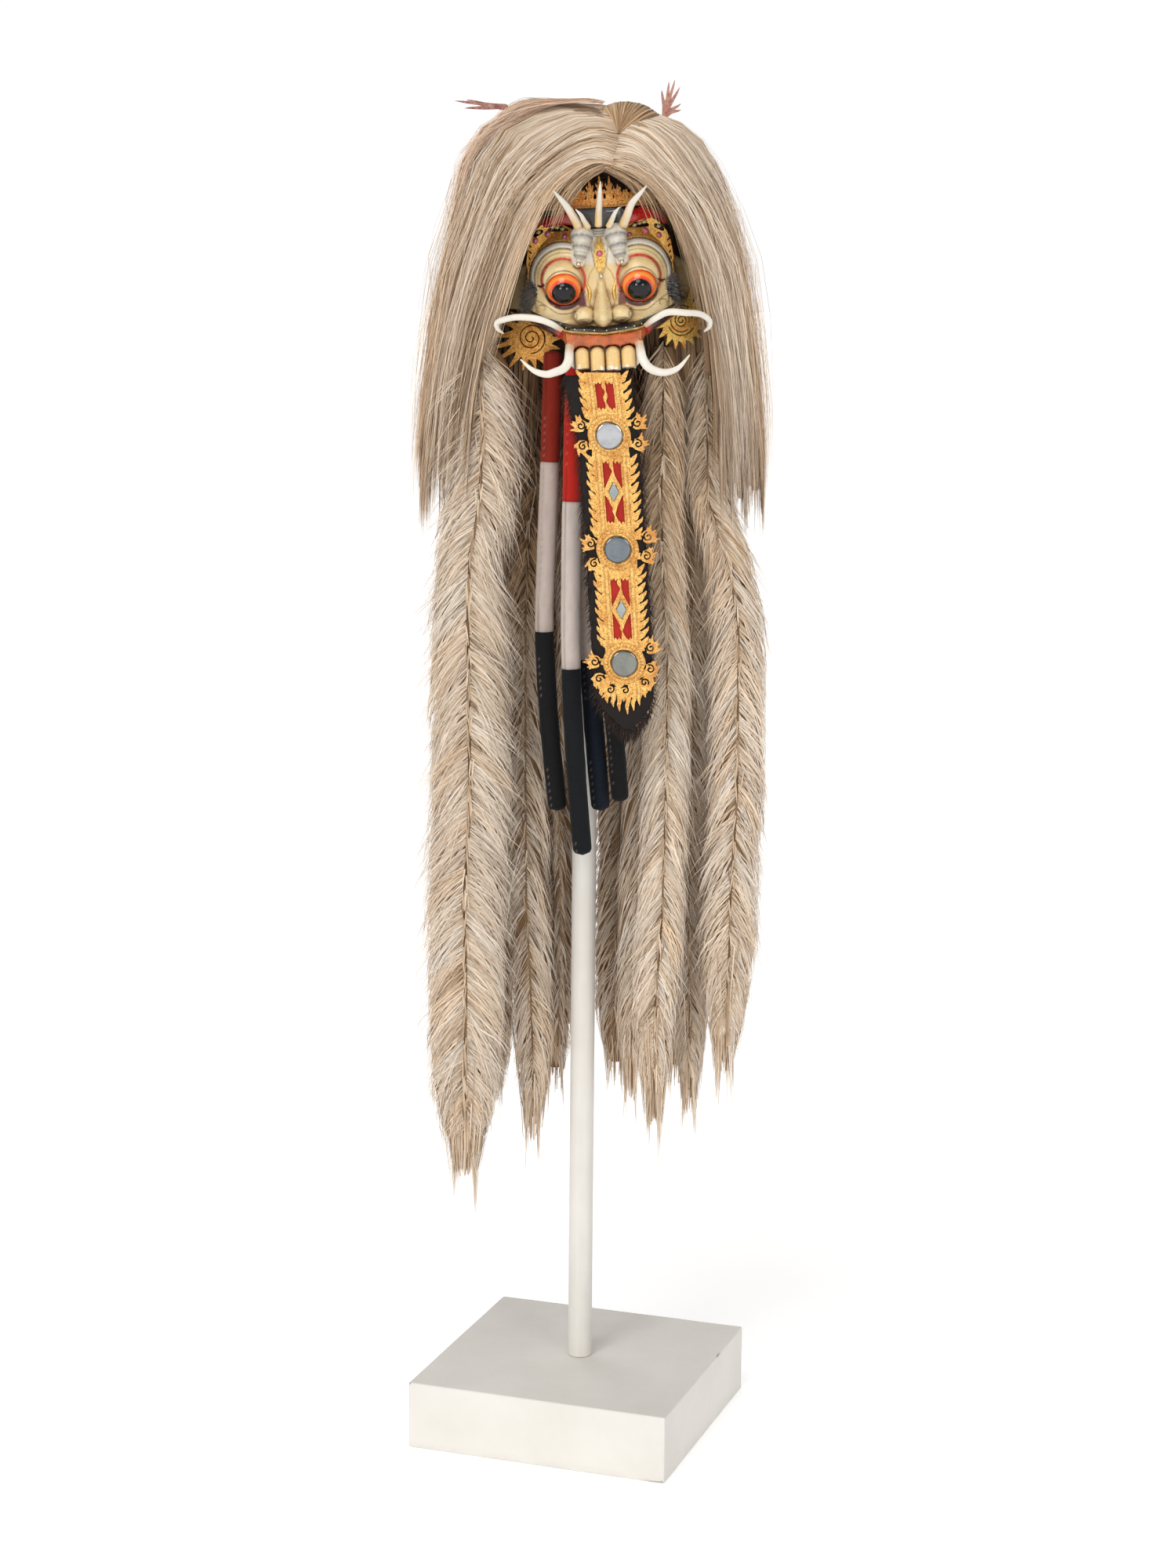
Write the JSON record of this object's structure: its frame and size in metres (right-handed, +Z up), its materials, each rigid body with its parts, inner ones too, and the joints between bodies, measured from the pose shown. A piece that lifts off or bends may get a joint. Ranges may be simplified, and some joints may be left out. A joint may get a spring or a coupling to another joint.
{
  "type": "balinese rangda dance mask on a stand",
  "caption": "Carved and painted demon-queen dance mask with tusks, gilt leather crown and tongue, long plaited hair and stuffed cloth tubes, held up by a round pole in a square plinth.",
  "frame": {"origin": "centre of the plinth's underside, on the pole's axis", "axes": "+Z up along the pole; the mask's face looks towards -Y; +X is on the right of someone who faces the mask"},
  "size_m": [0.5164, 0.5088, 2.0065],
  "materials": {
    "white_paint": "satin",
    "lacquered_wood": "gloss",
    "bone": "gloss",
    "gilt_leather": "satin",
    "red_lacquer": "gloss",
    "red_cloth": "matte",
    "dark_fur": "matte",
    "mirror_glass": "polished",
    "cap_cloth": "matte",
    "pale_hair": "satin",
    "tube_cloth": "matte",
    "red_leather": "matte"
  },
  "bodies": {
    "root": {"brow_plate_left": "gilt_leather", "brow_plate_right": "gilt_leather", "cloth_tube_a": "tube_cloth", "cloth_tube_b": "tube_cloth", "cloth_tube_c": "tube_cloth", "cloth_tube_d": "tube_cloth", "crown": "gilt_leather", "ear_ornament_left": "gilt_leather", "ear_ornament_right": "gilt_leather", "forehead_leaf": "gilt_leather", "frond_left": "red_leather", "frond_right": "red_leather", "hair_left": "pale_hair", "hair_right": "pale_hair", "head_band": "red_lacquer", "horn_centre": "bone", "horn_inner_left": "bone", "horn_inner_right": "bone", "horn_outer_left": "bone", "horn_outer_right": "bone", "lock_back_1": "pale_hair", "lock_back_2": "pale_hair", "lock_back_3": "pale_hair", "lock_back_4": "pale_hair", "lock_left_front": "pale_hair", "lock_left_inner": "pale_hair", "lock_left_side": "pale_hair", "lock_right_back": "pale_hair", "lock_right_front": "pale_hair", "lock_right_inner": "pale_hair", "lock_right_outer": "pale_hair", "lock_right_side": "pale_hair", "lock_thin": "pale_hair", "mask": "lacquered_wood", "mirror_diamond_lower": "mirror_glass", "mirror_diamond_upper": "mirror_glass", "mirror_round_lower": "mirror_glass", "mirror_round_middle": "mirror_glass", "mirror_round_upper": "mirror_glass", "plinth": "white_paint", "pole": "white_paint", "tongue_fur": "dark_fur", "tongue_gilt_strip": "gilt_leather", "tongue_red_cloth": "red_cloth", "tusk_lower_left": "bone", "tusk_lower_right": "bone", "tusk_upper_left": "bone", "tusk_upper_right": "bone", "wig_cap": "cap_cloth"}
  },
  "joints": []
}
